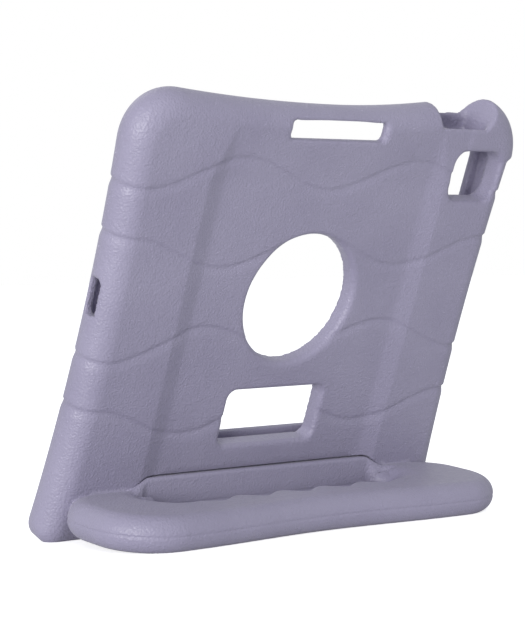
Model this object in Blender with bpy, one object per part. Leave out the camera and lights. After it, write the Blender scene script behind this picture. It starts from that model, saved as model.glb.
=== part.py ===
"""Kids tablet case: one thick foam moulding that leans back on its rear handle.

Metres, +Z up. The screen side faces -Y and the handle lies behind, towards +Y. The origin is
under the middle of the case, at the height of the table it stands on.

The moulding is drawn with its handle lying flat, and is then tipped back a few degrees until
it stands on its base edge and on the handle's rear edge. The case is drawn in a leaning frame
of its own: across (towards -X), up (along the back panel) and out (away from the tablet's
back, towards the rear). The tablet's middle is at 0, 0 there and its back lies at out = 0.
"""
import math

import bmesh
import bpy
from mathutils import Vector

# Tablet that the case is made for, lying on its long side
TABLET_LENGTH = 0.2486
TABLET_WIDTH = 0.1795
TABLET_THICKNESS = 0.0070
TABLET_CORNER = 0.0120
TABLET_FIT = 0.0004

# Foam around the tablet
PANEL_THICKNESS = 0.0094
LIP_THICKNESS = 0.0049
LIP_OVERLAP = 0.0055
LIP_CORNER = 0.0084
LIP_BEVEL = 0.0022
SIDE_WALL = 0.0055
TOP_WALL = 0.0155
BASE_WALL = 0.0447
SIDE_FLARE = 0.0070
TOP_RISE = 0.0084
BUTTON_SIDE_RISE = 0.0147
TOP_CORNER = 0.0250
BASE_CORNER = 0.0150

# Lean of the panel against the handle, how far the base hangs below the handle's underside,
# and how much of the foam is pressed flat where the case stands on the table
LEAN = math.radians(16.0)
BASE_DROP = 0.0075
FOOT_FLAT = 0.0006

# Raised grips beside the sunken middle of the back
GRIP_RISE = 0.0030
RECESS_WIDTH = 0.1425
BAND_WIDTH = 0.0113
RECESS_FADE_START = 0.0500
RECESS_FADE_LENGTH = 0.0460

# Wavy grooves across the back, by height up the panel and by which way each one starts
GROOVE_WAVES = ((0.0710, -1), (0.0280, 1), (-0.0220, -1), (-0.0655, 1))
GROOVE_PERIOD = 0.1220
GROOVE_SWING = 0.0085
GROOVE_DEPTH = 0.0010
GROOVE_RADIUS = 0.0024

# Round window in the middle of the back
ROUND_WINDOW_RADIUS = 0.0365
ROUND_WINDOW_FILLET = 0.0035

# Oblong window below it
OBLONG_WIDTH = 0.0664
OBLONG_HEIGHT = 0.0322
OBLONG_DROP = 0.0680
OBLONG_CORNER = 0.0055
OBLONG_FILLET = 0.0025

# Strap slot through the top wall
SLOT_LENGTH = 0.0664
SLOT_HEIGHT = 0.0102
SLOT_CORNER = 0.0022
SLOT_FILLET = 0.0010

# Wide relief behind the slot, open towards the screen side
RELIEF_LENGTH = 0.1160
RELIEF_SKIN = 0.0059
RELIEF_CORNER = 0.0040
RELIEF_STEP = 0.0008

# Rear corner opening, measured from the tablet's end and top
CORNER_OPENING_WIDTH = 0.0320
CORNER_OPENING_HEIGHT = 0.0300
CORNER_OPENING_FROM_END = 0.0213
CORNER_OPENING_FROM_TOP = 0.0187
CORNER_OPENING_RADIUS = 0.0085
CORNER_OPENING_FILLET = 0.0030

# Socket opening in the end wall
SOCKET_LENGTH = 0.0200
SOCKET_DEPTH = 0.0120
SOCKET_OUT = -0.0020
SOCKET_RISE = 0.0015
SOCKET_CORNER = 0.0040
SOCKET_REACH = 0.0010
SOCKET_FLARE = 0.0015

# Button notch in the top edge, lower at the back than at the front
NOTCH_FROM_END = 0.0385
NOTCH_FLOOR = 0.0304
NOTCH_WALL = 0.0083
NOTCH_FRONT_RISE = 0.0037
NOTCH_INNER_RAMP = 0.0100
NOTCH_OUTER_RAMP = 0.0120
TROUGH_LENGTH = 0.0280
TROUGH_WALL = 0.0025
TROUGH_FRONT = 0.0100
TROUGH_BACK = 0.0050
TROUGH_CORNER = 0.0040
TROUGH_DRAFT = 0.0010

# Round knob on the corner beside the notch, and the finger scoop in its side
KNOB_FROM_END = 0.0113
KNOB_ABOVE_TABLET = 0.0027
KNOB_WIDTH = 0.0350
KNOB_HEIGHT = 0.0410
KNOB_DEPTH = 0.0260
SCOOP_FROM_END = 0.0268
SCOOP_ABOVE_TABLET = 0.0230
SCOOP_OUT = 0.0040
SCOOP_WIDTH = 0.0250
SCOOP_HEIGHT = 0.0280
SCOOP_DEPTH = 0.0280

# Rear handle that the case stands on
HANDLE_WIDTH = 0.2738
HANDLE_REACH = 0.0843
HANDLE_THICKNESS = 0.0195
HANDLE_EDGE = 0.0094
HANDLE_CORNER = 0.0320
HANDLE_FRONT = 0.0103
HANDLE_FRONT_CORNER = 0.0270
HANDLE_WAIST = 0.0055

# Finger hole in the handle
FINGER_HOLE_WIDTH = 0.1680
FINGER_BAR = 0.0300
FINGER_HOLE_CORNER = 0.0130
FINGER_HOLE_FILLET = 0.0050
FINGER_SCALLOPS = 5
FINGER_SCALLOP_DEPTH = 0.0040

# Bar between the back panel and the finger hole
ROOT_BAR_HEIGHT = 0.0245
ROOT_BAR_BEHIND = 0.0056
ROOT_BAR_EASE = 0.0220
ROOT_BAR_CROWN = 0.0030
SLIT_WIDTH = 0.0012
SLIT_DEPTH = 0.0070

# How far one form sinks into the next, how far a cutting tool runs past the faces it meets,
# and how close two corners are welded
OVERLAP = 0.0003
PAST = 0.0060
FILLET_PAST = 1.05
WELD = 0.000001

# Facets
ARC_STEPS = 6
EDGE_STEPS = 8
HANDLE_EDGE_STEPS = 4
FILLET_STEPS = 4
SOFT_RIM_STEPS = 3
SIDE_STEPS = 12
TOP_STEPS = 14
ROUND_WINDOW_STEPS = 48
RAMP_STEPS = 8
SCALLOP_STEPS = 6
ROOT_BAR_STEPS = 8
GROOVE_STEPS = 40
GROOVE_TURN_STEPS = 8
GROOVE_TURN = 160
GROOVE_ROUND_STEPS = 2
KNOB_STEPS = 12
KNOB_POLE = 86
CORNER_PASSES = 4
SHARP_ANGLE = 30

half_length = TABLET_LENGTH / 2 + TABLET_FIT + SIDE_WALL
top_height = TABLET_WIDTH / 2 + TABLET_FIT + TOP_WALL
base_drop = TABLET_WIDTH / 2 + TABLET_FIT + BASE_WALL
front_out = -(TABLET_THICKNESS + TABLET_FIT + LIP_THICKNESS)
back_out = PANEL_THICKNESS + GRIP_RISE
edge_radius = (back_out - front_out) / 2
edge_out = (back_out + front_out) / 2
foot_up = -base_drop + edge_radius
foot_y = foot_up * math.sin(LEAN) + edge_out * math.cos(LEAN)
handle_z = foot_up * math.cos(LEAN) - edge_out * math.sin(LEAN) - edge_radius + BASE_DROP
handle_front = foot_y + HANDLE_FRONT
handle_back = foot_y + HANDLE_REACH
panel_foot_y = foot_y + edge_radius

# The table touches the two round edges that the case stands on
foot_z = edge_radius - BASE_DROP
heel_y = handle_back - HANDLE_EDGE
span = math.hypot(heel_y - foot_y, HANDLE_EDGE - foot_z)
tip = math.atan2(HANDLE_EDGE - foot_z, heel_y - foot_y) + math.asin((edge_radius - HANDLE_EDGE) / span)
lift = edge_radius - FOOT_FLAT + foot_y * math.sin(tip) - foot_z * math.cos(tip)


def leaning(across, up, out):
    """Turn a place on the leaning case into the frame in which the handle lies flat."""
    y = up * math.sin(LEAN) + out * math.cos(LEAN)
    z = up * math.cos(LEAN) - out * math.sin(LEAN) - handle_z
    return Vector((-across, y, z))


def panel_height(z, out):
    """How far up the panel a height above the handle's underside lies, at a level out of it."""
    return (z + handle_z + out * math.sin(LEAN)) / math.cos(LEAN)


def half_width_at(up):
    """Half the case's width, which opens a little towards the top and the base."""
    return half_length + SIDE_FLARE * (up / base_drop) ** 2


def top_at(across):
    """Height of the top edge, which dips in the middle and is highest beside the notch."""
    rise = BUTTON_SIDE_RISE if across > 0.0 else TOP_RISE
    place = min(across, TABLET_LENGTH / 2 - NOTCH_FROM_END - NOTCH_FLOOR / 2)
    return top_height + rise * (place / half_length) ** 2


def arc(centre, radius, start, end, steps):
    """Points round an arc, angles in degrees."""
    points = []
    for i in range(steps + 1):
        angle = math.radians(start + (end - start) * i / steps)
        points.append((centre[0] + radius * math.cos(angle), centre[1] + radius * math.sin(angle)))
    return points


def oblong(width, height, corner, centre=(0.0, 0.0), steps=ARC_STEPS):
    """Outline of a rounded rectangle, anticlockwise."""
    x, y = width / 2 - corner, height / 2 - corner
    points = []
    for sx, sy, start in ((1, 1, 0), (-1, 1, 90), (-1, -1, 180), (1, -1, 270)):
        points += arc((centre[0] + sx * x, centre[1] + sy * y), corner, start, start + 90, steps)
    return points


def grown(points, distance):
    """The outline with each of its edges moved outwards by a distance."""
    moved = []
    count = len(points)
    for i in range(count):
        before, here, after = Vector(points[i - 1]), Vector(points[i]), Vector(points[(i + 1) % count])
        reaching = (here - before).normalized()
        along = (reaching + (after - here).normalized()).normalized()
        reach = distance / along.dot(reaching)
        moved.append((here.x + along.y * reach, here.y - along.x * reach))
    return moved


def case_outline():
    """Outer edge of the case seen from behind: bowed sides, a dipped top, round corners."""
    low = -base_drop + BASE_CORNER
    low_across = half_width_at(low) - BASE_CORNER
    sides = []
    for side in (1, -1):
        up = top_height - TOP_CORNER
        for _ in range(CORNER_PASSES):
            across = half_width_at(up) - TOP_CORNER
            up = top_at(side * across) - TOP_CORNER
        edge = arc((low_across, low), BASE_CORNER, -90, 0, ARC_STEPS)
        for i in range(1, SIDE_STEPS):
            height = low + (up - low) * i / SIDE_STEPS
            edge.append((half_width_at(height), height))
        edge += arc((across, up), TOP_CORNER, 0, 90, ARC_STEPS)
        sides.append(edge)
    right, left = sides
    points = list(right)
    for i in range(1, TOP_STEPS):
        place = right[-1][0] - (right[-1][0] + left[-1][0]) * i / TOP_STEPS
        points.append((place, top_at(place)))
    points += [(-x, y) for x, y in reversed(left)]
    return points


def handle_outline():
    """Outer edge of the handle from above: a wide D whose rear edge dips in the middle."""
    half = HANDLE_WIDTH / 2
    across = half - HANDLE_CORNER
    depth = handle_back - HANDLE_CORNER
    front_across = half - HANDLE_FRONT_CORNER
    front = handle_front + HANDLE_FRONT_CORNER
    right = [(front_across - HANDLE_EDGE, foot_y)]
    right += arc((front_across, front), HANDLE_FRONT_CORNER, -90, 0, ARC_STEPS)
    right += arc((across, depth), HANDLE_CORNER, 0, 90, ARC_STEPS + 2)
    points = list(right)
    for i in range(1, TOP_STEPS):
        x = across - 2 * across * i / TOP_STEPS
        dip = HANDLE_WAIST * (1 + math.cos(math.pi * x / across)) / 2
        points.append((x, handle_back - dip))
    points += [(-x, y) for x, y in reversed(right)]
    return points


def finger_hole_outline():
    """The finger hole from above: a long rounded slot with scallops for the fingers."""
    half = FINGER_HOLE_WIDTH / 2
    front = panel_foot_y + ROOT_BAR_BEHIND
    back = handle_back - HANDLE_WAIST - FINGER_BAR
    corner = min(FINGER_HOLE_CORNER, (back - front) / 2 - OVERLAP)
    reach = half - corner
    steps = FINGER_SCALLOPS * SCALLOP_STEPS
    points = arc((reach, front + corner), corner, -90, 0, ARC_STEPS)
    points += arc((reach, back - corner), corner, 0, 90, ARC_STEPS)
    for i in range(1, steps):
        x = reach - 2 * reach * i / steps
        wave = (1 - math.cos(2 * math.pi * FINGER_SCALLOPS * i / steps)) / 2
        points.append((x, back + FINGER_SCALLOP_DEPTH * wave))
    points += arc((-reach, back - corner), corner, 90, 180, ARC_STEPS)
    points += arc((-reach, front + corner), corner, 180, 270, ARC_STEPS)
    return points


def loft(name, rings):
    """Closed body through rings of the same number of points, with a flat cap at each end."""
    mesh = bpy.data.meshes.new(name)
    bm = bmesh.new()
    rows = [[bm.verts.new(point) for point in ring] for ring in rings]
    count = len(rows[0])
    for low, high in zip(rows, rows[1:]):
        for i in range(count):
            bm.faces.new((low[i], low[(i + 1) % count], high[(i + 1) % count], high[i]))
    bm.faces.new(rows[0])
    bm.faces.new(rows[-1])
    bmesh.ops.recalc_face_normals(bm, faces=bm.faces)
    bm.to_mesh(mesh)
    bm.free()
    part = bpy.data.objects.new(name, mesh)
    bpy.context.collection.objects.link(part)
    return part


def panel_loft(name, outline, levels):
    """Loft on the leaning case: each level is a height out of the panel and a growth."""
    rings = []
    for out, growth in levels:
        rings.append([leaning(x, y, out) for x, y in grown(outline, growth)])
    return loft(name, rings)


def flared(inner, surface, fillet):
    """Levels of a hole from inside to outside, with a filleted rim at the surface."""
    levels = [(inner, 0.0)]
    for i in range(FILLET_STEPS + 1):
        angle = math.radians(90 * i / FILLET_STEPS)
        levels.append((surface - fillet * (1 - math.sin(angle)), fillet * (1 - math.cos(angle))))
    levels.append((surface + PAST, fillet * FILLET_PAST))
    return levels


def combine(part, tool, operation):
    """Boolean of one body with another, applied at once and welded; the tool is removed."""
    modifier = part.modifiers.new(operation.lower(), "BOOLEAN")
    modifier.operation = operation
    modifier.object = tool
    modifier.solver = "EXACT"
    depsgraph = bpy.context.evaluated_depsgraph_get()
    result = bpy.data.meshes.new_from_object(part.evaluated_get(depsgraph))
    bm = bmesh.new()
    bm.from_mesh(result)
    bmesh.ops.remove_doubles(bm, verts=bm.verts, dist=WELD)
    bmesh.ops.dissolve_degenerate(bm, edges=bm.edges, dist=WELD)
    bm.to_mesh(result)
    bm.free()
    part.modifiers.clear()
    part.data = result
    bpy.data.objects.remove(tool)


def cut(part, tool):
    combine(part, tool, "DIFFERENCE")


def join(part, tool):
    combine(part, tool, "UNION")


def make_blank():
    """The solid slab of the case with its fully rounded edge."""
    outline = case_outline()
    rings = []
    for i in range(EDGE_STEPS + 1):
        angle = math.radians(-90 + 180 * i / EDGE_STEPS)
        out = edge_out + edge_radius * math.sin(angle)
        inset = edge_radius * (1 - math.cos(angle))
        rings.append([leaning(x, y, out) for x, y in grown(outline, -inset)])
    return loft("case", rings)


def make_handle():
    """The handle slab with its rounded rear edge, running into the case at its front."""
    outline = handle_outline()
    bottom, top = HANDLE_EDGE, HANDLE_THICKNESS - HANDLE_EDGE
    rings = []
    for centre, start in ((bottom, -90), (top, 0)):
        for i in range(HANDLE_EDGE_STEPS + 1):
            angle = math.radians(start + 90 * i / HANDLE_EDGE_STEPS)
            inset = HANDLE_EDGE * (1 - math.cos(angle))
            z = centre + HANDLE_EDGE * math.sin(angle)
            rings.append([(x, y, z) for x, y in grown(outline, -inset)])
    return loft("handle_slab", rings)


def make_root_bar():
    """Bar that fills the wedge between the leaning panel and the finger hole.

    It stands highest between the grips and falls to the handle's own height at its ends.
    """
    back = panel_foot_y + ROOT_BAR_BEHIND
    middle = RECESS_WIDTH / 2 - ROOT_BAR_EASE / 2
    crown = ROOT_BAR_CROWN
    rings = []
    level_steps = ROOT_BAR_STEPS // 4
    for i in range(-ROOT_BAR_STEPS, ROOT_BAR_STEPS + 1):
        along = max(abs(i) - level_steps, 0) / (ROOT_BAR_STEPS - level_steps)
        x = math.copysign(middle + (ROOT_BAR_EASE + FINGER_HOLE_FILLET) * along, i) if i else 0.0
        fall = (1 - math.cos(math.pi * along)) / 2
        top = ROOT_BAR_HEIGHT - (ROOT_BAR_HEIGHT - HANDLE_THICKNESS + OVERLAP) * fall
        section = [(foot_y, OVERLAP), (back, OVERLAP)]
        section += arc((back - crown, top - crown), crown, 0, 90, SOFT_RIM_STEPS)
        section.append((foot_y, top))
        rings.append([(x, y, z) for y, z in section])
    return loft("root_bar", rings)


def cut_recess(case):
    """Sink the middle of the back between the grips, from inside the handle to near the top."""
    inner = RECESS_WIDTH / 2
    floor, ceiling = PANEL_THICKNESS, back_out + PAST
    slope = BAND_WIDTH / GRIP_RISE
    end = RECESS_FADE_START + RECESS_FADE_LENGTH + PAST
    end_level = floor + GRIP_RISE * (1 + PAST / RECESS_FADE_LENGTH)
    start = panel_height(HANDLE_THICKNESS / 2, floor)
    rings = []
    for up, level in ((start, floor), (RECESS_FADE_START, floor), (end, end_level)):
        outer = inner + slope * (ceiling - level)
        section = ((-inner, level), (inner, level), (outer, ceiling), (-outer, ceiling))
        rings.append([leaning(x, up, out) for x, out in section])
    cut(case, loft("recess", rings))


def cut_pocket(case):
    """The tablet's pocket, and the screen window that its lip leaves open."""
    length, width = TABLET_LENGTH + 2 * TABLET_FIT, TABLET_WIDTH + 2 * TABLET_FIT
    outline = oblong(length, width, TABLET_CORNER)
    floor = -(TABLET_THICKNESS + TABLET_FIT)
    cut(case, panel_loft("pocket", outline, ((floor, 0.0), (0.0, 0.0))))
    window = oblong(length - 2 * LIP_OVERLAP, width - 2 * LIP_OVERLAP, LIP_CORNER)
    levels = ((front_out - PAST, LIP_BEVEL + PAST), (front_out + LIP_BEVEL, 0.0), (floor / 2, 0.0))
    cut(case, panel_loft("screen_window", window, levels))


def cut_back_windows(case):
    """Round and oblong windows in the sunken middle of the back."""
    inner = -TABLET_THICKNESS / 2
    disc = arc((0.0, 0.0), ROUND_WINDOW_RADIUS, 0, 360, ROUND_WINDOW_STEPS)[:-1]
    levels = flared(inner, PANEL_THICKNESS, ROUND_WINDOW_FILLET)
    cut(case, panel_loft("round_window", disc, levels))
    frame = oblong(OBLONG_WIDTH, OBLONG_HEIGHT, OBLONG_CORNER, (0.0, -OBLONG_DROP))
    levels = flared(inner, PANEL_THICKNESS, OBLONG_FILLET)
    cut(case, panel_loft("oblong_window", frame, levels))


def cut_slot(case):
    """Strap slot just above the tablet, with a wider relief that opens towards the screen."""
    low = TABLET_WIDTH / 2 + TABLET_FIT - OVERLAP
    middle = (0.0, low + SLOT_HEIGHT / 2)
    outline = oblong(SLOT_LENGTH, SLOT_HEIGHT, SLOT_CORNER, middle)
    skin = back_out - RELIEF_SKIN
    cut(case, panel_loft("strap_slot", outline, flared(skin - PAST, back_out, SLOT_FILLET)))
    floor = -(TABLET_THICKNESS + TABLET_FIT)
    above = oblong(RELIEF_LENGTH, SLOT_HEIGHT + 2 * RELIEF_STEP, SLOT_CORNER, middle)
    cut(case, panel_loft("relief", above, ((floor + OVERLAP, 0.0), (skin, 0.0))))
    drop = LIP_OVERLAP + PAST
    height = drop + SLOT_HEIGHT + 2 * RELIEF_STEP
    centre = (0.0, low - drop + height / 2)
    gap = oblong(RELIEF_LENGTH + 2 * RELIEF_STEP, height, RELIEF_CORNER, centre)
    cut(case, panel_loft("lip_gap", gap, ((front_out - PAST, 0.0), (floor / 2, 0.0))))


def cut_corner_opening(case):
    """Rounded opening in the back, near the tablet's top corner."""
    across = TABLET_LENGTH / 2 - CORNER_OPENING_FROM_END
    up = TABLET_WIDTH / 2 - CORNER_OPENING_FROM_TOP
    outline = oblong(CORNER_OPENING_WIDTH, CORNER_OPENING_HEIGHT, CORNER_OPENING_RADIUS, (across, up))
    levels = flared(-TABLET_THICKNESS / 2, back_out, CORNER_OPENING_FILLET)
    cut(case, panel_loft("corner_opening", outline, levels))


def cut_socket(case):
    """Opening in the end wall for the tablet's charging socket."""
    outline = oblong(SOCKET_LENGTH, SOCKET_DEPTH, SOCKET_CORNER, (SOCKET_RISE, SOCKET_OUT))
    inner = -(TABLET_LENGTH / 2 - SOCKET_REACH)
    outer = -(half_length + PAST)
    rings = []
    for across, growth in ((outer, SOCKET_FLARE), (SOCKET_FLARE - half_length, 0.0), (inner, 0.0)):
        rings.append([leaning(across, up, out) for up, out in grown(outline, growth)])
    cut(case, loft("socket_opening", rings))


def cut_notch(case):
    """Notch in the top edge by the buttons, with a shallow trough behind its front wall."""
    across = TABLET_LENGTH / 2 - NOTCH_FROM_END
    low = TABLET_WIDTH / 2 + TABLET_FIT + NOTCH_WALL
    rise = top_height + BUTTON_SIDE_RISE + PAST - low
    rings = []
    for out, floor in ((front_out - PAST, low + NOTCH_FRONT_RISE), (back_out + PAST, low)):
        section = []
        for side, ramp in ((-1, NOTCH_INNER_RAMP), (1, NOTCH_OUTER_RAMP)):
            slope = []
            for i in range(RAMP_STEPS + 1):
                turn = (1 - math.cos(math.pi * i / RAMP_STEPS)) / 2
                place = across + side * (NOTCH_FLOOR / 2 + ramp * i / RAMP_STEPS)
                slope.append((place, floor + rise * turn))
            section += slope[::side]
        rings.append([leaning(x, up, out) for x, up in section])
    cut(case, loft("notch", rings))
    floor = TABLET_WIDTH / 2 + TABLET_FIT + TROUGH_WALL
    outline = oblong(TROUGH_LENGTH, TROUGH_FRONT + TROUGH_BACK, TROUGH_CORNER,
                     (across, (TROUGH_BACK - TROUGH_FRONT) / 2))
    rings = []
    for up, growth in ((floor, 0.0), (low + rise, TROUGH_DRAFT)):
        rings.append([leaning(x, up, out) for x, out in grown(outline, growth)])
    cut(case, loft("trough", rings))


def rounded_body(name, centre, size):
    """A closed egg-shaped body on the leaning case."""
    rings = []
    for i in range(KNOB_STEPS + 1):
        rise = math.radians(KNOB_POLE * (2 * i / KNOB_STEPS - 1))
        ring = []
        for k in range(2 * KNOB_STEPS):
            turn = math.pi * k / KNOB_STEPS
            across = centre[0] + size[0] / 2 * math.cos(rise) * math.cos(turn)
            out = centre[2] + size[2] / 2 * math.cos(rise) * math.sin(turn)
            ring.append(leaning(across, centre[1] + size[1] / 2 * math.sin(rise), out))
        rings.append(ring)
    return loft(name, rings)


def make_knob(case):
    """Join the knob to the corner beside the notch, and scoop out the side by the buttons."""
    top = TABLET_WIDTH / 2
    centre = (TABLET_LENGTH / 2 - KNOB_FROM_END, top + KNOB_ABOVE_TABLET, edge_out)
    join(case, rounded_body("knob", centre, (KNOB_WIDTH, KNOB_HEIGHT, KNOB_DEPTH)))
    centre = (TABLET_LENGTH / 2 - SCOOP_FROM_END, top + SCOOP_ABOVE_TABLET, SCOOP_OUT)
    cut(case, rounded_body("scoop", centre, (SCOOP_WIDTH, SCOOP_HEIGHT, SCOOP_DEPTH)))


def groove_height(across, level, way):
    """Height of a wavy groove at a place across the back."""
    return level + way * GROOVE_SWING * math.cos(2 * math.pi * across / GROOVE_PERIOD)


def surface_out(across, up):
    """How far out the back's surface lies at a place, grips and sunken middle."""
    fade = (up - RECESS_FADE_START) / RECESS_FADE_LENGTH
    depth = GRIP_RISE * (1 - min(max(fade, 0.0), 1.0))
    beyond = (abs(across) - RECESS_WIDTH / 2) * GRIP_RISE / BAND_WIDTH
    return back_out - depth + min(max(beyond, 0.0), depth)


def groove_path(level, way):
    """Centre line of a groove's round tool, over the back and round both sides."""
    lift = GROOVE_RADIUS - GROOVE_DEPTH
    reach = half_length - edge_radius
    back = []
    for i in range(GROOVE_STEPS + 1):
        across = -reach + 2 * reach * i / GROOVE_STEPS
        up = groove_height(across, level, way)
        back.append((across, up, surface_out(across, up) + lift))
    up = groove_height(reach, level, way)
    side = []
    for i in range(1, GROOVE_TURN_STEPS + 1):
        angle = math.radians(90 - GROOVE_TURN * i / GROOVE_TURN_STEPS)
        centre = half_width_at(up) - edge_radius
        radius = edge_radius + lift
        side.append((centre + radius * math.cos(angle), up, edge_out + radius * math.sin(angle)))
    return [(-x, y, z) for x, y, z in reversed(side)] + back + side


def cut_groove(case, level, way):
    """Cut one groove with a round tool swept along its path."""
    curve = bpy.data.curves.new("groove", "CURVE")
    curve.dimensions = "3D"
    curve.bevel_depth = GROOVE_RADIUS
    curve.bevel_resolution = GROOVE_ROUND_STEPS
    curve.use_fill_caps = True
    path = groove_path(level, way)
    spline = curve.splines.new("POLY")
    spline.points.add(len(path) - 1)
    for point, place in zip(spline.points, path):
        point.co = leaning(*place).to_4d()
    tool = bpy.data.objects.new("groove", curve)
    bpy.context.collection.objects.link(tool)
    depsgraph = bpy.context.evaluated_depsgraph_get()
    mesh = bpy.data.meshes.new_from_object(tool.evaluated_get(depsgraph))
    bpy.data.objects.remove(tool)
    solid = bpy.data.objects.new("groove", mesh)
    bpy.context.collection.objects.link(solid)
    cut(case, solid)


def cut_finger_hole(case):
    """Finger hole through the handle, with a soft rim on top and a small one below."""
    outline = finger_hole_outline()
    rings = []
    levels = [(-PAST, 0.0)]
    for i in range(SOFT_RIM_STEPS + 1):
        angle = math.radians(90 * i / SOFT_RIM_STEPS)
        rise = FINGER_HOLE_FILLET * (1 - math.sin(angle))
        levels.append((HANDLE_THICKNESS - rise, FINGER_HOLE_FILLET * (1 - math.cos(angle))))
    levels.append((ROOT_BAR_HEIGHT + PAST, FINGER_HOLE_FILLET * FILLET_PAST))
    front = panel_foot_y + ROOT_BAR_BEHIND
    for z, growth in levels:
        rings.append([(x, max(y, front), z) for x, y in grown(outline, growth)])
    cut(case, loft("finger_hole", rings))


def cut_slit(case):
    """Narrow slit between the sunken panel and the bar at its foot."""
    half = RECESS_WIDTH / 2
    out = PANEL_THICKNESS
    up = panel_height(ROOT_BAR_HEIGHT, out)
    section = ((out, up - SLIT_DEPTH), (out + SLIT_WIDTH, up - SLIT_DEPTH),
               (out + SLIT_WIDTH, up + PAST), (out, up + PAST))
    rings = [[leaning(x, height, level) for level, height in section] for x in (-half, half)]
    cut(case, loft("slit", rings))


def trim_foot(case):
    """Flatten the two edges a little where the case rests on the table, here still tipped."""
    half, front, back = HANDLE_WIDTH, foot_y - HANDLE_REACH, handle_back + PAST
    outline = ((-half, front), (half, front), (half, back), (-half, back))
    rings = []
    for height in (-edge_radius - lift, -lift):
        low, far = height * math.cos(tip), height * math.sin(tip)
        rings.append([(x, y * math.cos(tip) - far, y * math.sin(tip) + low) for x, y in outline])
    cut(case, loft("table", rings))


def tip_back(case):
    """Tip the whole moulding back to the way it stands on its two edges."""
    for vertex in case.data.vertices:
        x, y, z = vertex.co
        back = y * math.cos(tip) + z * math.sin(tip)
        vertex.co = (x, back, z * math.cos(tip) - y * math.sin(tip) + lift)


def centre_over_origin(case):
    """Move the mesh so that the middle of its footprint is at the origin."""
    for axis in (0, 1):
        values = [vertex.co[axis] for vertex in case.data.vertices]
        middle = (min(values) + max(values)) / 2
        for vertex in case.data.vertices:
            vertex.co[axis] -= middle


def foam_material():
    """Satin moulded foam in pale lavender grey."""
    material = bpy.data.materials.new("lavender_foam")
    material.use_nodes = True
    shader = material.node_tree.nodes["Principled BSDF"]
    shader.inputs["Base Color"].default_value = (0.33, 0.30, 0.42, 1.0)
    shader.inputs["Roughness"].default_value = 0.55
    shader.inputs["Metallic"].default_value = 0.0
    return material


def build():
    for old in list(bpy.data.objects):
        bpy.data.objects.remove(old)
    case = make_blank()
    cut_notch(case)
    make_knob(case)
    cut_recess(case)
    join(case, make_handle())
    join(case, make_root_bar())
    cut_finger_hole(case)
    trim_foot(case)
    cut_pocket(case)
    cut_back_windows(case)
    cut_slot(case)
    cut_corner_opening(case)
    cut_socket(case)
    for level, way in GROOVE_WAVES:
        cut_groove(case, level, way)
    cut_slit(case)
    tip_back(case)
    centre_over_origin(case)
    case.data.materials.clear()
    case.data.materials.append(foam_material())
    case.data.shade_smooth()
    case.data.set_sharp_from_angle(angle=math.radians(SHARP_ANGLE))
    print("triangles", sum(len(face.vertices) - 2 for face in case.data.polygons))


build()
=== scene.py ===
import math

import bpy
import numpy as np
from mathutils import Matrix, Vector


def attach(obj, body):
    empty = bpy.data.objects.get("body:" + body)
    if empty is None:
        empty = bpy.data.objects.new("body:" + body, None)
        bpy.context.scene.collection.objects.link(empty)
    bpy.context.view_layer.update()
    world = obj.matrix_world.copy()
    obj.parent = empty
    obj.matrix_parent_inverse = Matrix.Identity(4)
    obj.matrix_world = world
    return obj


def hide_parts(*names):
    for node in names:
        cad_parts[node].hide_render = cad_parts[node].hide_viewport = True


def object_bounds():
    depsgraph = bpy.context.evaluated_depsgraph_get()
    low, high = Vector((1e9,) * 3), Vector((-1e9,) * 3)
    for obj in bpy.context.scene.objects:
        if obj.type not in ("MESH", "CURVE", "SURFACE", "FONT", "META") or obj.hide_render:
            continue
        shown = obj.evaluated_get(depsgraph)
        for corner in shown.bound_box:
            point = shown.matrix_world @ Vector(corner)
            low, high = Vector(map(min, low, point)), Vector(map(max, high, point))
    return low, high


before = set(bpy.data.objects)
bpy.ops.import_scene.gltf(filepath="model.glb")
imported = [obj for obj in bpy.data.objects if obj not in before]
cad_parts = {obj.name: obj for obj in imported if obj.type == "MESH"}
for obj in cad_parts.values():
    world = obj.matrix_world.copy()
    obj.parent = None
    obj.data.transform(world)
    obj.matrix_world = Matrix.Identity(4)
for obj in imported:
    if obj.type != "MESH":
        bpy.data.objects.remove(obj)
cad_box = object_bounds()

# Leaning case: the thick back, the lip round its front opening and the grips, all one piece
# of closed-cell foam with the handle at its foot. It is pressed to shape in a two-part
# mould, so every edge is fully rounded.
LEAN = math.radians(16.0)
TIP = math.radians(5.7294)
STAND_SHIFT = -7.944
STAND_LIFT = 3.558
CASE_LIFT = 122.62
HALF_LENGTH = 130.2
SIDE_FLARE = 7.0
TOP_EDGE = 105.65
TOP_RISE = 8.4
BUTTON_SIDE_RISE = 14.7
RISE_CHANGES = (-20.0, 20.0)
BASE_EDGE = 134.85
TOP_CORNER = 31.0
BASE_CORNER = 12.0
EDGE_ROUND = 12.35
BASE_ROUND = 8.5
BASE_ROUND_FROM = (-136.0, -122.0)
BACK_LEVEL = 12.4
FRONT_LEVEL = -12.3


def case_frame(x, y, z):
    """Millimetres across the case, up its panel and out from the pocket's rear wall."""
    z = z - CASE_LIFT
    up = y * math.sin(LEAN) + z * math.cos(LEAN)
    out = y * math.cos(LEAN) - z * math.sin(LEAN)
    return -x, up, out


def standing(y, z):
    """Places where the handle lies flat, tipped back to how the case stands."""
    back = y * math.cos(TIP) + z * math.sin(TIP) + STAND_SHIFT
    return back, z * math.cos(TIP) - y * math.sin(TIP) + STAND_LIFT


def ease(low, high, value):
    """Smooth step from 0 at low to 1 at high."""
    share = np.clip((value - low) / (high - low), 0.0, 1.0)
    return share * share * (3.0 - 2.0 * share)


def rounded_corner(a, b, radius):
    """Distance to two sides that meet in a rounded corner, negative inside it."""
    a = a + radius
    b = b + radius
    reach = np.hypot(np.maximum(a, 0.0), np.maximum(b, 0.0))
    return reach + np.minimum(np.maximum(a, b), 0.0) - radius


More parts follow.
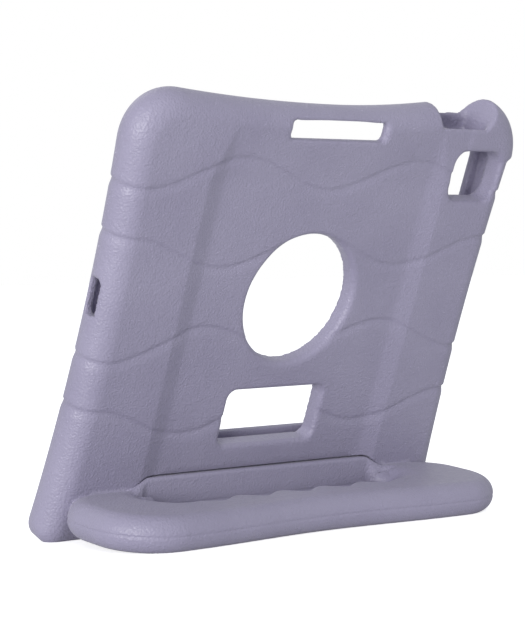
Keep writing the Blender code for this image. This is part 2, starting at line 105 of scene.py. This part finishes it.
def slab(u, v, n):
    """The case without its openings: bowed sides, a dipped top and a fully rounded edge."""
    half = HALF_LENGTH + SIDE_FLARE * (v / BASE_EDGE) ** 2
    place = np.minimum(u, NOTCH_MIDDLE - NOTCH_HALF)
    rise = TOP_RISE + (BUTTON_SIDE_RISE - TOP_RISE) * ease(*RISE_CHANGES, u)
    top = TOP_EDGE + rise * (place / HALF_LENGTH) ** 2
    corner = np.where(v > 0.0, TOP_CORNER, BASE_CORNER)
    edge = rounded_corner(np.abs(u) - half, np.where(v > 0.0, v - top, -v - BASE_EDGE), corner)
    middle = (BACK_LEVEL + FRONT_LEVEL) / 2.0
    fillet = BASE_ROUND + (EDGE_ROUND - BASE_ROUND) * ease(*BASE_ROUND_FROM, v)
    return rounded_corner(edge, np.abs(n - middle) - EDGE_ROUND, fillet)


# Raised grips down both sides of the back, in the same foam. The mould leaves the middle
# between them sunken, and the sunken part runs out near the top edge.
GRIP_RISE = 3.0
RECESS_HALF = 71.25
BAND_WIDTH = 11.3
RECESS_FADE = (68.0, 99.0)
BAND_SOFTNESS = 0.5
FLOOR_SOFTNESS = 0.2


def recess_depth(u, v):
    """How far the middle of the back is sunk below the grips."""
    low, high = RECESS_FADE
    floor = GRIP_RISE * (1.0 - np.clip((v - low) / (high - low), 0.0, 1.0))
    slope = (np.abs(u) - RECESS_HALF) * GRIP_RISE / BAND_WIDTH
    over = np.hypot(slope, BAND_SOFTNESS) / 2.0 + slope / 2.0
    left = floor - over
    return np.hypot(left, FLOOR_SOFTNESS) / 2.0 + left / 2.0


# Wavy lines pressed into the foam by the mould, across the back and round both ends. Above a
# line the foam steps out, and below it the foam eases back to its full thickness.
WAVES = ((71.0, -1.0), (28.0, 1.0), (-22.0, -1.0), (-65.5, 1.0))
WAVE_LENGTH = 122.0
WAVE_SWING = 8.5
WAVE_DEPTH = (0.62, 0.95)
WAVE_DEEPENS = (112.0, 128.0)
WAVE_STEP = 1.3
WAVE_EASE = 5.5
WAVE_STARTS = (1.0, 5.0)


def wave_depth(u, v, n):
    """Depth of the wavy lines, which are deeper at the ends and run out towards the front."""
    reach = HALF_LENGTH - EDGE_ROUND
    turn = 2.0 * math.pi / WAVE_LENGTH
    across = np.clip(u, -reach, reach) * turn
    slope = WAVE_SWING * turn * np.sin(across)
    full = WAVE_DEPTH[0] + (WAVE_DEPTH[1] - WAVE_DEPTH[0]) * ease(*WAVE_DEEPENS, np.abs(u))
    depth = np.zeros_like(u)
    for level, way in WAVES:
        above = (v - level - way * WAVE_SWING * np.cos(across)) / np.hypot(1.0, slope)
        upper = 1.0 - ease(0.0, WAVE_STEP, above)
        lower = 1.0 - ease(0.0, WAVE_EASE, -above)
        depth = np.maximum(depth, full * np.minimum(upper, lower))
    return depth * ease(*WAVE_STARTS, n - FRONT_LEVEL)


# Round pad on the corner by the buttons, in one with the case. It stands proud of the outline,
# is rounded like the case's own edge and ends in a small step low down the side.
PAD_CENTRE = (101.6, 80.2)
PAD_RADIUS = 34.0
PAD_BASE = 81.0
PAD_BASE_RIM = 2.5
PAD_SIDE = 92.0
PAD_FILLET = 1.5
PAD_FACE_FROM = (86.0, 92.0)
PAD_FACE_RISE = 6.0


def soft_cut(foam, hole, rim):
    """Take a hole out of the foam and round its rim."""
    a = np.maximum(rim + foam, 0.0)
    b = np.maximum(rim - hole, 0.0)
    return np.minimum(-rim, np.maximum(foam, -hole)) + np.hypot(a, b)


def soft_join(foam, other, fillet):
    """Join two bodies with a fillet in the corner between them."""
    a = np.maximum(fillet - foam, 0.0)
    b = np.maximum(fillet - other, 0.0)
    return np.maximum(fillet, np.minimum(foam, other)) - np.hypot(a, b)


def corner_pad(u, v, n):
    """Distance to the corner pad, down to the step at its base."""
    edge = np.hypot(u - PAD_CENTRE[0], v - PAD_CENTRE[1]) - PAD_RADIUS
    middle = (BACK_LEVEL + FRONT_LEVEL) / 2.0
    disc = np.hypot(np.maximum(edge + EDGE_ROUND, 0.0), n - middle) - EDGE_ROUND
    return soft_cut(disc, np.minimum(v - PAD_BASE, u - PAD_SIDE), PAD_BASE_RIM)


# Notch for the buttons, with a trough that the mould sinks behind the thin wall left in front.
# The trough's far end is the hollow side of the corner pad, with a softer ridge.
NOTCH_MIDDLE = 85.8
NOTCH_HALF = 15.2
NOTCH_FLOOR = 100.0
NOTCH_SLOPE = -0.1008
NOTCH_RISE = 27.9
NOTCH_RAMPS = (8.0, 22.0)
NOTCH_RIM = 1.0
TROUGH_U = (71.0, 106.0)
TROUGH_N = (-10.2, 9.8)
TROUGH_CORNER = 4.0
TROUGH_FLOOR = 92.65
TROUGH_RIM = 1.0
RIDGE_RIM = 2.6
RIDGE_START = 88.0


def cut_notch(foam, u, v, n):
    """Cut the notch and its trough."""
    side = u - NOTCH_MIDDLE
    ramp = np.where(side < 0.0, NOTCH_RAMPS[0], NOTCH_RAMPS[1])
    along = np.clip((np.abs(side) - NOTCH_HALF) / ramp, 0.0, 1.0)
    floor = NOTCH_FLOOR + NOTCH_SLOPE * n + NOTCH_RISE * (1.0 - np.cos(math.pi * along)) / 2.0
    slope = NOTCH_RISE * math.pi / (2.0 * ramp) * np.sin(math.pi * along)
    foam = soft_cut(foam, (floor - v) / np.hypot(1.0, slope), NOTCH_RIM)
    past_u = np.maximum(TROUGH_U[0] - u, u - TROUGH_U[1])
    past_n = np.maximum(TROUGH_N[0] - n, n - TROUGH_N[1])
    trough = np.maximum(rounded_corner(past_u, past_n, TROUGH_CORNER), TROUGH_FLOOR - v)
    rim = TROUGH_RIM + (RIDGE_RIM - TROUGH_RIM) * ease(RIDGE_START, TROUGH_U[1], u)
    return soft_cut(foam, trough, rim)


# Pocket in the front with the lip that closes in round it, and the openings through the
# back and the end wall. The mould leaves each of them with a rounded rim in the foam.
POCKET_HALF = (124.7, 90.15)
POCKET_CORNER = 12.4
POCKET_FLOOR = -7.4
LIP_OVERLAP = 5.5
LIP_CORNER = 8.4
LIP_RIM = 2.2
ROUND_WINDOW = 36.5
ROUND_WINDOW_RIM = 3.5
OBLONG_HALF = (33.2, 16.1)
OBLONG_MIDDLE = -68.0
OBLONG_CORNER = 5.5
OBLONG_RIM = 2.5
SLOT_HALF = (32.4, 5.1)
SLOT_MIDDLE = (-2.7, 94.95)
SLOT_CORNER = 3.0
SLOT_RIM = 0.9
SLOT_END_RIM = 3.2
SLOT_RIM_GROWS = (28.4, 33.4)
RELIEF_HALF = 58.0
RELIEF_TOP = 100.85
RELIEF_DEPTH = 6.5
RELIEF_RIM = 1.0
CORNER_WINDOW_HALF = (17.5, 14.5)
CORNER_WINDOW_MIDDLE = (104.2, 71.75)
CORNER_WINDOW_CORNER = 8.5
CORNER_WINDOW_RIM = 3.0
SOCKET_HALF = (10.0, 4.2)
SOCKET_MIDDLE = (1.5, -0.4)
SOCKET_CORNER = 3.0
SOCKET_RIM = 0.8
SOCKET_START = 123.3


def oblong(a, b, half, corner):
    """Distance to a rounded oblong's outline, negative inside it."""
    return rounded_corner(np.abs(a) - half[0], np.abs(b) - half[1], corner)


def cut_openings(foam, u, v, n):
    """Cut the windows, the strap slot, the socket opening, the front opening and the pocket."""
    inner = POCKET_FLOOR / 2.0
    rear = inner - n
    round_window = np.maximum(np.hypot(u, v) - ROUND_WINDOW, rear)
    foam = soft_cut(foam, round_window, ROUND_WINDOW_RIM)
    lower_window = oblong(u, v - OBLONG_MIDDLE, OBLONG_HALF, OBLONG_CORNER)
    foam = soft_cut(foam, np.maximum(lower_window, rear), OBLONG_RIM)
    along = u - SLOT_MIDDLE[0]
    slot = oblong(along, v - SLOT_MIDDLE[1], SLOT_HALF, SLOT_CORNER)
    rim = SLOT_RIM + (SLOT_END_RIM - SLOT_RIM) * ease(*SLOT_RIM_GROWS, np.abs(along))
    foam = soft_cut(foam, slot, rim)
    across = u - CORNER_WINDOW_MIDDLE[0]
    up = v - CORNER_WINDOW_MIDDLE[1]
    corner_window = oblong(across, up, CORNER_WINDOW_HALF, CORNER_WINDOW_CORNER)
    foam = soft_cut(foam, np.maximum(corner_window, rear), CORNER_WINDOW_RIM)
    socket = oblong(v - SOCKET_MIDDLE[0], n - SOCKET_MIDDLE[1], SOCKET_HALF, SOCKET_CORNER)
    foam = soft_cut(foam, np.maximum(socket, u + SOCKET_START), SOCKET_RIM)
    lip_half = [half - LIP_OVERLAP for half in POCKET_HALF]
    front = oblong(u, v, lip_half, LIP_CORNER)
    foam = soft_cut(foam, np.maximum(front, n - inner), LIP_RIM)
    relief_middle = RELIEF_TOP / 2.0
    relief = oblong(u, v - relief_middle, (RELIEF_HALF, relief_middle), SLOT_CORNER)
    relief = np.maximum(relief, n - RELIEF_DEPTH)
    foam = soft_cut(foam, np.maximum(relief, lip_half[1] - v), RELIEF_RIM)
    depth = np.abs(n - inner) + inner
    return np.maximum(foam, -np.maximum(oblong(u, v, POCKET_HALF, POCKET_CORNER), depth))


# Rear handle: a flat ring of the same foam, moulded in one with the case. It lies on the
# table behind the panel and holds the case at its angle. Its rear edge dips in the middle.
HANDLE_HALF = 135.4
HANDLE_FRONT = -23.42
HANDLE_BACK = 50.58
HANDLE_WAIST = 5.5
HANDLE_CORNERS = (27.0, 35.0)
HANDLE_THICKNESS = 19.5
HANDLE_ROUND = 9.4
PARTING_DEPTH = 0.35
PARTING_HALF = 0.55


def handle(x, y, z):
    """The handle's slab, with rounder corners at the rear than at the front."""
    straight = HANDLE_HALF - HANDLE_CORNERS[1]
    waist = (1.0 + np.cos(math.pi * np.clip(x / straight, -1.0, 1.0))) / 2.0
    back = HANDLE_BACK - HANDLE_WAIST * waist
    rear = y > (HANDLE_FRONT + HANDLE_BACK) / 2.0
    corner = np.where(rear, HANDLE_CORNERS[1], HANDLE_CORNERS[0])
    beside = np.where(rear, y - back, HANDLE_FRONT - y)
    edge = rounded_corner(np.abs(x) - HANDLE_HALF, beside, corner)
    half = HANDLE_THICKNESS / 2.0
    return rounded_corner(edge, np.abs(z - half) - half, HANDLE_ROUND)


def parting_line(z):
    """Depth of the line that the two halves of the mould leave."""
    return PARTING_DEPTH * np.exp(-((z - HANDLE_THICKNESS / 2.0) / PARTING_HALF) ** 2)


# Bar between the panel and the finger hole, in one with both. It is level between the grips
# and runs out at its ends, and a thin slit in the foam parts its top from the panel.
HOLE_FRONT = -15.77
BAR_FRONT = -33.7
BAR_HEIGHT = 25.1
BAR_ENDS = (76.0, 90.0)
BAR_RUN_OUT = 20.0
SLIT_HALF = 0.38
SLIT_DEPTH = 10.0
SLIT_ENDS = (78.0, 92.0)
SLIT_CLOSES = 0.2


def bar_top(x, y):
    """Height of the bar's top, which falls away to the handle's at its ends and to the rear."""
    rise = (BAR_HEIGHT - HANDLE_THICKNESS) * (1.0 - ease(*BAR_ENDS, np.abs(x)))
    return HANDLE_THICKNESS + rise * (1.0 - ease(HOLE_FRONT, BAR_RUN_OUT, y))


def root_bar(x, y, z):
    """The bar with the shoulders at its ends."""
    sides = np.maximum(np.abs(x) - BAR_ENDS[1], np.maximum(BAR_FRONT - y, y - BAR_RUN_OUT))
    return np.maximum(z - bar_top(x, y), sides)


def cut_slit(foam, x, z, over_panel):
    """Cut the level slit into the panel just above the bar. It closes towards its ends."""
    open_share = (1.0 + SLIT_CLOSES) * (1.0 - ease(*SLIT_ENDS, np.abs(x))) - SLIT_CLOSES
    level = bar_top(x, HOLE_FRONT) + SLIT_HALF
    slit = np.maximum(np.abs(z - level) - SLIT_HALF * open_share, -SLIT_DEPTH - over_panel)
    return np.maximum(foam, -slit)


# Finger hole through the handle, as the mould leaves it: scooped scallops for the fingers
# along its rear side, a crisp front side and wide soft ends.
HOLE_HALF = 84.0
HOLE_BACK = 15.08
HOLE_CORNERS = (7.0, 23.5)
SCALLOPS = 5
SCALLOP_REACH = 71.5
SCALLOP_DEPTH = 4.5
SCALLOP_SCOOP = 2.5
RIM_FRONT = 2.0
RIM_BACK = 3.5
RIM_END = 17.0
RIM_GROWS = (-15.77, -3.77)
SOFT_END_X = (55.5, 90.0)
SOFT_END_Y = (-16.77, -8.77)


def cut_finger_hole(foam, x, y, z):
    """Cut the finger hole, with a rim that widens over the scallops and at the ends."""
    turn = np.clip(x / SCALLOP_REACH, -1.0, 1.0) * math.pi * SCALLOPS
    scallop = (1.0 + np.cos(turn) * (1 if SCALLOPS % 2 else -1)) / 2.0
    back = HOLE_BACK + SCALLOP_DEPTH * scallop
    corner = np.where(y > HOLE_FRONT + HOLE_CORNERS[0], HOLE_CORNERS[1], HOLE_CORNERS[0])
    hole = rounded_corner(np.abs(x) - HOLE_HALF, np.maximum(y - back, HOLE_FRONT - y), corner)
    rim_back = RIM_BACK + SCALLOP_SCOOP * scallop
    rim = RIM_FRONT + (rim_back - RIM_FRONT) * ease(*RIM_GROWS, y)
    ends = ease(*SOFT_END_X, np.abs(x)) * ease(*SOFT_END_Y, y)
    rim = rim + (RIM_END - rim) * ends * ease(0.0, HANDLE_THICKNESS, z)
    return soft_cut(foam, hole, rim)


# The moulding as a whole, which is one piece of foam and stands on its base and on the
# handle. A grid is laid through it, and the skin is drawn where the grid passes the surface.
CELL = 1.2
FINE_CELL = 0.4
BLOCK = 6
BLOCK_SPARE = 4.0
MARGIN = 5.0
GRID_Y = (-56.0, 51.0)
GRID_Z = (-12.0, 236.0)
BAR_END_X = (74.0, 92.0)
BAR_Z = (18.0, 27.5)
SETTLING_STEPS = 3
PROBE = 0.2
LEAST_SQUARE = 0.25
LONGEST_MOVE = 0.5
TRIANGLES = 190000


def foam_shape(x, y, z):
    """Distance to the surface of the whole moulding, negative inside it."""
    u, v, n = case_frame(x, y, z)
    over_panel = n - BACK_LEVEL + recess_depth(u, v)
    case = soft_join(slab(u, v, n), corner_pad(u, v, n), PAD_FILLET)
    case = cut_notch(case, u, v, n)
    case = np.maximum(case, over_panel - PAD_FACE_RISE * ease(*PAD_FACE_FROM, u))
    case = case + wave_depth(u, v, n)
    case = cut_openings(case, u, v, n)
    ring = np.minimum(handle(x, y, z), root_bar(x, y, z))
    ring = cut_finger_hole(ring, x, y, z) + parting_line(z)
    pocket = oblong(u, v, POCKET_HALF, POCKET_CORNER)
    ring = np.maximum(ring, -np.maximum(pocket, n - BACK_LEVEL / 2.0))
    foam = cut_slit(np.minimum(case, ring), x, z, over_panel)
    return np.maximum(foam, -standing(y, z)[1])


def grid_lines():
    """Grid coordinates along each axis, finer at the parting line and at the bar."""
    low = np.array((cad_box[0][0] * 1000.0, GRID_Y[0], GRID_Z[0])) - MARGIN
    high = np.array((cad_box[1][0] * 1000.0, GRID_Y[1], GRID_Z[1])) + MARGIN
    parting = HANDLE_THICKNESS / 2.0
    parting_z = (parting - 4 * FINE_CELL, parting + 4 * FINE_CELL)
    far_end_x = (-BAR_END_X[1], -BAR_END_X[0])
    fine = ((far_end_x, BAR_END_X), (), (parting_z, BAR_Z))
    lines = []
    for axis in range(3):
        line = [low[axis]]
        while line[-1] < high[axis]:
            close = any(start <= line[-1] < end for start, end in fine[axis])
            line.append(line[-1] + (FINE_CELL if close else CELL))
        lines.append(np.array(line))
    return lines


def fill_field(lines):
    """Distances on the grid, worked out in full only in the blocks near the surface."""
    sizes = [len(line) for line in lines]
    counts = [-(-size // BLOCK) for size in sizes]
    centres = []
    for line, count in zip(lines, counts):
        places = np.minimum(np.arange(count) * BLOCK + BLOCK // 2, len(line) - 1)
        centres.append(line[places])
    grid = np.meshgrid(*centres, indexing="ij")
    coarse = foam_shape(*[part.ravel() for part in grid]).reshape(counts)
    reach = CELL * (BLOCK + 1) * math.sqrt(3.0) / 2.0 + BLOCK_SPARE
    field = np.repeat(np.repeat(np.repeat(coarse, BLOCK, 0), BLOCK, 1), BLOCK, 2)
    field = field[: sizes[0], : sizes[1], : sizes[2]].copy()
    places = np.nonzero(np.abs(field) < reach)
    field[places] = foam_shape(*[line[place] for line, place in zip(lines, places)])
    return field


def cell_points(field, lines, cells, corners):
    """One point in each cell: the middle of the places where its edges pass the surface."""
    values = {}
    places = {}
    for corner in corners:
        index = tuple(cell + step for cell, step in zip(cells, corner))
        values[corner] = field[index]
        places[corner] = np.stack([line[i] for line, i in zip(lines, index)], 1)
    total = np.zeros((len(cells[0]), 3))
    hits = np.zeros(len(cells[0]))
    for start in corners:
        for axis in range(3):
            if start[axis]:
                continue
            end = tuple(1 if i == axis else start[i] for i in range(3))
            one, two = values[start], values[end]
            crossed = (one < 0.0) != (two < 0.0)
            share = np.where(crossed, one / np.where(crossed, one - two, 1.0), 0.0)
            point = places[start] + (places[end] - places[start]) * share[:, None]
            total += np.where(crossed[:, None], point, 0.0)
            hits += crossed
    return total / hits[:, None]


def cell_faces(inside, number):
    """One face round each grid edge that passes the surface, turned outward."""
    faces = []
    for axis in range(3):
        b, c = (axis + 1) % 3, (axis + 2) % 3
        ahead = [slice(None)] * 3
        behind = [slice(None)] * 3
        ahead[axis] = slice(1, None)
        behind[axis] = slice(0, -1)
        edges = np.array(np.nonzero(inside[tuple(behind)] != inside[tuple(ahead)]))
        keep = (edges[b] > 0) & (edges[c] > 0)
        keep &= (edges[b] < number.shape[b]) & (edges[c] < number.shape[c])
        edges = edges[:, keep]
        outward = inside[tuple(edges)]
        ring = []
        for step_b, step_c in ((1, 1), (0, 1), (0, 0), (1, 0)):
            cell = edges.copy()
            cell[b] -= step_b
            cell[c] -= step_c
            ring.append(number[tuple(cell)])
        quad = np.stack(ring, 1)
        quad[~outward] = quad[~outward][:, ::-1]
        faces.append(quad)
    return np.concatenate(faces)


def skin(field, lines):
    """Points and faces of the surface in the grid."""
    inside = field < 0.0
    count = np.zeros(tuple(size - 1 for size in field.shape), np.int8)
    corners = [(a, b, c) for a in (0, 1) for b in (0, 1) for c in (0, 1)]
    for a, b, c in corners:
        count += inside[a : a + count.shape[0], b : b + count.shape[1], c : c + count.shape[2]]
    cells = np.nonzero((count > 0) & (count < len(corners)))
    number = np.full(count.shape, -1, np.int64)
    number[cells] = np.arange(len(cells[0]))
    return cell_points(field, lines, cells, corners), cell_faces(inside, number)


def settle(points):
    """Move the points along the field's slope until they lie on the surface."""
    for _ in range(SETTLING_STEPS):
        value = foam_shape(*points.T)
        slope = np.zeros_like(points)
        for axis in range(3):
            step = np.zeros(3)
            step[axis] = PROBE
            slope[:, axis] = foam_shape(*(points + step).T) - foam_shape(*(points - step).T)
        slope /= 2.0 * PROBE
        square = np.maximum((slope ** 2).sum(1), LEAST_SQUARE)
        move = slope * (value / square)[:, None]
        length = np.linalg.norm(move, axis=1)
        move *= np.minimum(1.0, LONGEST_MOVE * CELL / np.maximum(length, 1e-9))[:, None]
        points = points - move
    return points


lines = grid_lines()
points, faces = skin(fill_field(lines), lines)
points = settle(points)
points[:, 1], points[:, 2] = standing(points[:, 1], points[:, 2])
mesh = bpy.data.meshes.new("case_foam")
mesh.from_pydata((points / 1000.0).tolist(), [], faces.tolist())
mesh.validate()
case_foam = bpy.data.objects.new("case_foam", mesh)
bpy.context.scene.collection.objects.link(case_foam)
thin = case_foam.modifiers.new("thin", "DECIMATE")
thin.ratio = min(1.0, TRIANGLES / (2.0 * len(faces)))
depsgraph = bpy.context.evaluated_depsgraph_get()
thinned = bpy.data.meshes.new_from_object(case_foam.evaluated_get(depsgraph))
case_foam.modifiers.clear()
case_foam.data = thinned
case_foam.data.shade_smooth()

# Skin of the foam: pale lavender, dyed all through, closed and satin, with the fine pebbled
# grain of the mould's face. It varies a little in shade and in shine.
FOAM_COLOUR = (0.318, 0.296, 0.405)
FOAM_DARK = (0.285, 0.264, 0.369)
FOAM_ROUGHNESS = 0.43
ROUGHNESS_SPREAD = 0.07
FOAM_SHEEN = 0.15
GRAIN_SCALE = 900.0
GRAIN_HEIGHT = 0.00034
GRAIN_STRENGTH = 0.9
GRAIN_SMOOTHNESS = 0.6
MOTTLE_SCALE = 260.0
MOTTLE_DETAIL = 4.0
MOTTLE_SHARE = 0.6
CLOUD_SCALE = 18.0
CLOUD_DETAIL = 3.0

foam_skin = bpy.data.materials.new("lavender_foam_skin")
foam_skin.use_nodes = True
tree = foam_skin.node_tree
shader = tree.nodes["Principled BSDF"]
place = tree.nodes.new("ShaderNodeTexCoord")
pebbles = tree.nodes.new("ShaderNodeTexVoronoi")
pebbles.feature = "SMOOTH_F1"
pebbles.inputs["Scale"].default_value = GRAIN_SCALE
pebbles.inputs["Smoothness"].default_value = GRAIN_SMOOTHNESS
tree.links.new(place.outputs["Object"], pebbles.inputs["Vector"])
mottle = tree.nodes.new("ShaderNodeTexNoise")
mottle.inputs["Scale"].default_value = MOTTLE_SCALE
mottle.inputs["Detail"].default_value = MOTTLE_DETAIL
tree.links.new(place.outputs["Object"], mottle.inputs["Vector"])
cloud = tree.nodes.new("ShaderNodeTexNoise")
cloud.inputs["Scale"].default_value = CLOUD_SCALE
cloud.inputs["Detail"].default_value = CLOUD_DETAIL
tree.links.new(place.outputs["Object"], cloud.inputs["Vector"])
shades = tree.nodes.new("ShaderNodeMapRange")
shades.inputs["From Min"].default_value = 0.30
shades.inputs["From Max"].default_value = 0.62
tint = tree.nodes.new("ShaderNodeMix")
tint.data_type = "RGBA"
tint.inputs["A"].default_value = (*FOAM_DARK, 1.0)
tint.inputs["B"].default_value = (*FOAM_COLOUR, 1.0)
tree.links.new(cloud.outputs["Fac"], shades.inputs["Value"])
tree.links.new(shades.outputs["Result"], tint.inputs["Factor"])
tree.links.new(tint.outputs["Result"], shader.inputs["Base Color"])
gloss = tree.nodes.new("ShaderNodeMapRange")
gloss.inputs["From Min"].default_value = 0.30
gloss.inputs["From Max"].default_value = 0.70
gloss.inputs["To Min"].default_value = FOAM_ROUGHNESS - ROUGHNESS_SPREAD
gloss.inputs["To Max"].default_value = FOAM_ROUGHNESS + ROUGHNESS_SPREAD
tree.links.new(mottle.outputs["Fac"], gloss.inputs["Value"])
tree.links.new(gloss.outputs["Result"], shader.inputs["Roughness"])
height = tree.nodes.new("ShaderNodeMath")
height.operation = "MULTIPLY_ADD"
height.inputs[1].default_value = MOTTLE_SHARE
tree.links.new(mottle.outputs["Fac"], height.inputs[0])
tree.links.new(pebbles.outputs["Distance"], height.inputs[2])
grain = tree.nodes.new("ShaderNodeBump")
grain.inputs["Strength"].default_value = GRAIN_STRENGTH
grain.inputs["Distance"].default_value = GRAIN_HEIGHT
tree.links.new(height.outputs["Value"], grain.inputs["Height"])
tree.links.new(grain.outputs["Normal"], shader.inputs["Normal"])
shader.inputs["Specular IOR Level"].default_value = 0.5
shader.inputs["Sheen Weight"].default_value = FOAM_SHEEN
shader.inputs["Sheen Roughness"].default_value = 0.5
case_foam.data.materials.clear()
case_foam.data.materials.append(foam_skin)
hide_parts("case")
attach(case_foam, "root")

# Pale studio floor under the case, a matt sheet. The camera sees it as white, and it still
# takes the case's shadow.
FLOOR_HALF = 6.0
FLOOR_COLOUR = (0.80, 0.80, 0.81, 1.0)
FLOOR_ROUGHNESS = 0.9
FLOOR_GLOW = 0.75

floor_corners = [(-1, -1), (1, -1), (1, 1), (-1, 1)]
floor_mesh = bpy.data.meshes.new("floor")
floor_points = [(a * FLOOR_HALF, b * FLOOR_HALF, 0.0) for a, b in floor_corners]
floor_mesh.from_pydata(floor_points, [], [(0, 1, 2, 3)])
floor = bpy.data.objects.new("floor", floor_mesh)
bpy.context.scene.collection.objects.link(floor)
floor_paint = bpy.data.materials.new("pale_floor")
floor_paint.use_nodes = True
tree = floor_paint.node_tree
shader = tree.nodes["Principled BSDF"]
shader.inputs["Base Color"].default_value = FLOOR_COLOUR
shader.inputs["Roughness"].default_value = FLOOR_ROUGHNESS
path = tree.nodes.new("ShaderNodeLightPath")
seen = tree.nodes.new("ShaderNodeMath")
seen.operation = "MULTIPLY"
seen.inputs[1].default_value = FLOOR_GLOW
glow = tree.nodes.new("ShaderNodeEmission")
glow.inputs["Color"].default_value = (1.0, 1.0, 1.0, 1.0)
blend = tree.nodes.new("ShaderNodeAddShader")
tree.links.new(path.outputs["Is Camera Ray"], seen.inputs[0])
tree.links.new(seen.outputs["Value"], glow.inputs["Strength"])
tree.links.new(shader.outputs["BSDF"], blend.inputs[0])
tree.links.new(glow.outputs["Emission"], blend.inputs[1])
output = tree.nodes["Material Output"]
tree.links.new(blend.outputs["Shader"], output.inputs["Surface"])
floor.data.materials.append(floor_paint)

# Studio round the case: soft, slightly cool daylight from all sides. The camera sees it as
# plain white.
DAYLIGHT = (0.93, 0.95, 1.0, 1.0)
DAYLIGHT_STRENGTH = 0.57

world = bpy.data.worlds.new("studio")
bpy.context.scene.world = world
world.use_nodes = True
tree = world.node_tree
tree.nodes.clear()
soft = tree.nodes.new("ShaderNodeBackground")
soft.inputs["Color"].default_value = DAYLIGHT
soft.inputs["Strength"].default_value = DAYLIGHT_STRENGTH
white = tree.nodes.new("ShaderNodeBackground")
white.inputs["Color"].default_value = (1.0, 1.0, 1.0, 1.0)
white.inputs["Strength"].default_value = 1.0
path = tree.nodes.new("ShaderNodeLightPath")
choose = tree.nodes.new("ShaderNodeMixShader")
output = tree.nodes.new("ShaderNodeOutputWorld")
tree.links.new(path.outputs["Is Camera Ray"], choose.inputs["Fac"])
tree.links.new(soft.outputs["Background"], choose.inputs[1])
tree.links.new(white.outputs["Background"], choose.inputs[2])
tree.links.new(choose.outputs["Shader"], output.inputs["Surface"])

# Soft square lamps aimed at the case: a low main one behind it and well to its side, a weak
# one high up behind it and a weak one high up in front of it.
LAMP_AIM = (0.0, 0.0, 0.10)
LAMPS = (
    ("main_lamp", (2.62, 1.46, 0.28), 1.2, 82.0),
    ("upper_lamp", (0.36, 1.00, 1.16), 0.6, 1.6),
    ("front_lamp", (0.0, -1.06, 1.16), 0.8, 2.0),
)

for lamp_name, lamp_place, lamp_size, watts in LAMPS:
    lamp_data = bpy.data.lights.new(lamp_name, "AREA")
    lamp_data.size = lamp_size
    lamp_data.energy = watts
    lamp = bpy.data.objects.new(lamp_name, lamp_data)
    bpy.context.scene.collection.objects.link(lamp)
    lamp.location = lamp_place
    facing = Vector(LAMP_AIM) - Vector(lamp_place)
    lamp.rotation_euler = facing.to_track_quat("-Z", "Y").to_euler()

# Camera behind the case and to one side of it, low down and with a long focal length. It is
# turned about its own axis by less than a degree.
CAMERA_PLACE = Vector((0.7322, 0.8582, 0.1518))
CAMERA_TARGET = Vector((0.0185, 0.0034, 0.1157))
CAMERA_ROLL = math.radians(-0.66)
CAMERA_LENS = 143.74
CAMERA_SENSOR = 36.0

camera_data = bpy.data.cameras.new("camera")
camera_data.sensor_fit = "HORIZONTAL"
camera_data.sensor_width = CAMERA_SENSOR
camera_data.lens = CAMERA_LENS
camera = bpy.data.objects.new("camera", camera_data)
bpy.context.scene.collection.objects.link(camera)
forward = (CAMERA_TARGET - CAMERA_PLACE).normalized()
level_right = forward.cross(Vector((0.0, 0.0, 1.0))).normalized()
level_up = level_right.cross(forward)
right = math.cos(CAMERA_ROLL) * level_right + math.sin(CAMERA_ROLL) * level_up
up = math.cos(CAMERA_ROLL) * level_up - math.sin(CAMERA_ROLL) * level_right
camera.matrix_world = Matrix((
    (right.x, up.x, -forward.x, CAMERA_PLACE.x),
    (right.y, up.y, -forward.y, CAMERA_PLACE.y),
    (right.z, up.z, -forward.z, CAMERA_PLACE.z),
    (0.0, 0.0, 0.0, 1.0),
))
bpy.context.scene.camera = camera
bpy.context.scene.view_settings.view_transform = "Standard"
